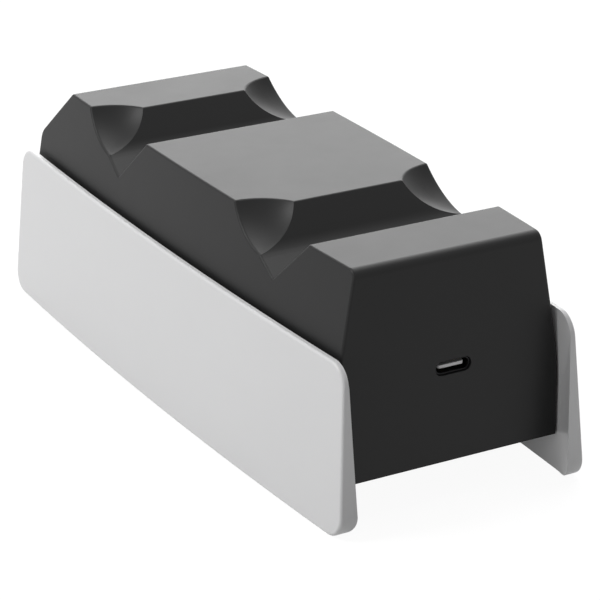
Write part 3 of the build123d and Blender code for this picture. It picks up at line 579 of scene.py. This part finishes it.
@dataclass
class StudioFloor:
    """A wide white floor under the dock. Seen from below it isn't there.

    Attributes:
        half_size: Half of its side.
        glow: Strength of its white, as the camera and reflections see it.
        grey: Paint over that white, which takes the dock's shadow.
        bounce_grey: Paint that lights the dock by bounced light.
    """

    half_size: float = 4.0
    glow: float = 0.94
    grey: float = 0.12
    bounce_grey: float = 0.52

    def build(self) -> None:
        """Make the floor and its material."""
        square = bmesh.new()
        bmesh.ops.create_grid(square, x_segments=1, y_segments=1, size=self.half_size)
        mesh = bpy.data.meshes.new("floor")
        square.to_mesh(mesh)
        square.free()
        floor = bpy.data.objects.new("floor", mesh)
        bpy.context.scene.collection.objects.link(floor)
        mesh.materials.append(self._material())

    def _material(self) -> bpy.types.Material:
        """White to the eye and in reflections, plain grey to the light that bounces off it.

        Returns:
            The floor's material.
        """
        made = bpy.data.materials.new("floor")
        made.use_nodes = True
        tree = ShaderTree(made.node_tree)
        glow = tree.node("ShaderNodeEmission", {}, {"Color": WHITE, "Strength": self.glow})
        paint = tree.node("ShaderNodeBsdfDiffuse", {}, {"Color": grey_paint(self.grey)})
        seen = tree.node("ShaderNodeAddShader", {}, {0: glow, 1: paint})
        bounce = tree.node("ShaderNodeBsdfDiffuse", {}, {"Color": grey_paint(self.bounce_grey)})
        shown = tree.node("ShaderNodeMixShader", {}, {0: seen_directly(tree), 1: bounce, 2: seen})
        clear = tree.node("ShaderNodeBsdfTransparent")
        below = tree.node("ShaderNodeNewGeometry", output="Backfacing")
        surface = tree.node("ShaderNodeMixShader", {}, {0: below, 1: shown, 2: clear})
        tree.node("ShaderNodeOutputMaterial", {}, {"Surface": surface})
        return made


def seen_directly(tree: ShaderTree) -> Signal:
    """1 for a ray from the camera, a reflection or a clear piece, else 0.

    Args:
        tree: The tree of the floor or the world.

    Returns:
        The mask.
    """
    camera = tree.node("ShaderNodeLightPath", output="Is Camera Ray")
    glossy = tree.node("ShaderNodeLightPath", output="Is Glossy Ray")
    through = tree.node("ShaderNodeLightPath", output="Is Transmission Ray")
    return camera.larger(glossy).larger(through)


@dataclass(frozen=True)
class Stand:
    """A place round the dock for a lamp or the camera.

    Attributes:
        azimuth: Degrees round the dock, with 0 at its near end and 90 at its right side.
        elevation: Degrees above the table.
        distance: Metres from the point that is faced.
    """

    azimuth: float
    elevation: float
    distance: float

    def back(self) -> Vector:
        """Direction of length 1 from the dock to this place."""
        turn = math.radians(self.azimuth)
        rise = math.radians(self.elevation)
        level = math.cos(rise)
        return Vector((math.sin(turn) * level, -math.cos(turn) * level, math.sin(rise)))

    def hold(self, holder: bpy.types.Object, target: Vector) -> None:
        """Put a lamp or the camera here and add it to the scene.

        Args:
            holder: The lamp's or the camera's object.
            target: The point that it faces.
        """
        back = self.back()
        holder.location = target + back * self.distance
        holder.rotation_mode = "QUATERNION"
        holder.rotation_quaternion = (-back).to_track_quat("-Z", "Y")
        bpy.context.scene.collection.objects.link(holder)


@dataclass(frozen=True)
class SoftBox:
    """A square lamp that points at the dock."""

    name: str
    stand: Stand
    size: float
    watts: float

    def build(self, target: Vector) -> None:
        """Make the lamp.

        Args:
            target: The point that it faces.
        """
        lamp = bpy.data.lights.new(self.name, "AREA")
        lamp.shape = "SQUARE"
        lamp.size = self.size
        lamp.energy = self.watts
        holder = bpy.data.objects.new(self.name, lamp)
        holder.visible_camera = False
        self.stand.hold(holder, target)


@dataclass
class Studio:
    """White surroundings, soft lamps and the camera.

    Attributes:
        target: The point that the lamps and the camera face.
        viewpoint: Where the camera stands.
        focal_pixels: Focal length, in pixels of the frame.
        frame_pixels: Side of the square frame, in pixels.
        sensor: Width of the camera's sensor, in millimetres.
        surroundings: Strength of the light that the surroundings give.
    """

    target: Point = (0.00665, 0.0010, 0.01819)
    viewpoint: Stand = Stand(azimuth=-29.389, elevation=22.496, distance=0.6613)
    focal_pixels: float = 2704.97
    frame_pixels: float = 600.0
    sensor: float = 36.0
    surroundings: float = 0.18

    def lamps(self) -> List[SoftBox]:
        """The lamps, each a wide soft box."""
        return [
            SoftBox("left_box", Stand(azimuth=-108.0, elevation=46.0, distance=1.5), size=0.45, watts=11.0),
            SoftBox("low_box", Stand(azimuth=-76.0, elevation=12.0, distance=1.5), size=0.5, watts=2.6),
            SoftBox("top_box", Stand(azimuth=125.0, elevation=66.0, distance=1.4), size=1.0, watts=7.0),
            SoftBox("rear_box", Stand(azimuth=150.6, elevation=21.5, distance=1.8), size=1.7, watts=26.0),
        ]

    def build(self) -> None:
        """Make the surroundings, the lamps, the floor and the camera."""
        middle = Vector(self.target)
        self._surround()
        StudioFloor().build()
        for lamp in self.lamps():
            lamp.build(middle)
        self._camera(middle)
        bpy.context.scene.view_settings.view_transform = "Standard"

    def _surround(self) -> None:
        """White to the eye and in reflections, dim to the light that it gives."""
        world = bpy.data.worlds.new("surroundings")
        bpy.context.scene.world = world
        world.use_nodes = True
        tree = ShaderTree(world.node_tree)
        strength = self.surroundings + seen_directly(tree) * (1 - self.surroundings)
        shader = tree.node("ShaderNodeBackground", {}, {"Color": WHITE, "Strength": strength})
        tree.node("ShaderNodeOutputWorld", {}, {"Surface": shader})

    def _camera(self, middle: Vector) -> None:
        """Make the camera and use it.

        Args:
            middle: The point that it looks at.
        """
        camera = bpy.data.cameras.new("camera")
        camera.sensor_width = self.sensor
        camera.lens = self.focal_pixels / self.frame_pixels * self.sensor
        holder = bpy.data.objects.new("camera", camera)
        self.viewpoint.hold(holder, middle)
        bpy.context.scene.camera = holder


def main() -> None:
    """Dress the dock and set up the studio."""
    logging.basicConfig(level=logging.INFO, format="%(message)s")
    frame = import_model()
    Studio().build()
    for kind in (
        Enclosure,
        SidePanels,
        PowerSocket,
        ControlBoard,
        ContactSets,
        ChargeIndicators,
        Wiring,
    ):
        kind(frame["nodes"]).build()


if __name__ == "__main__":
    main()
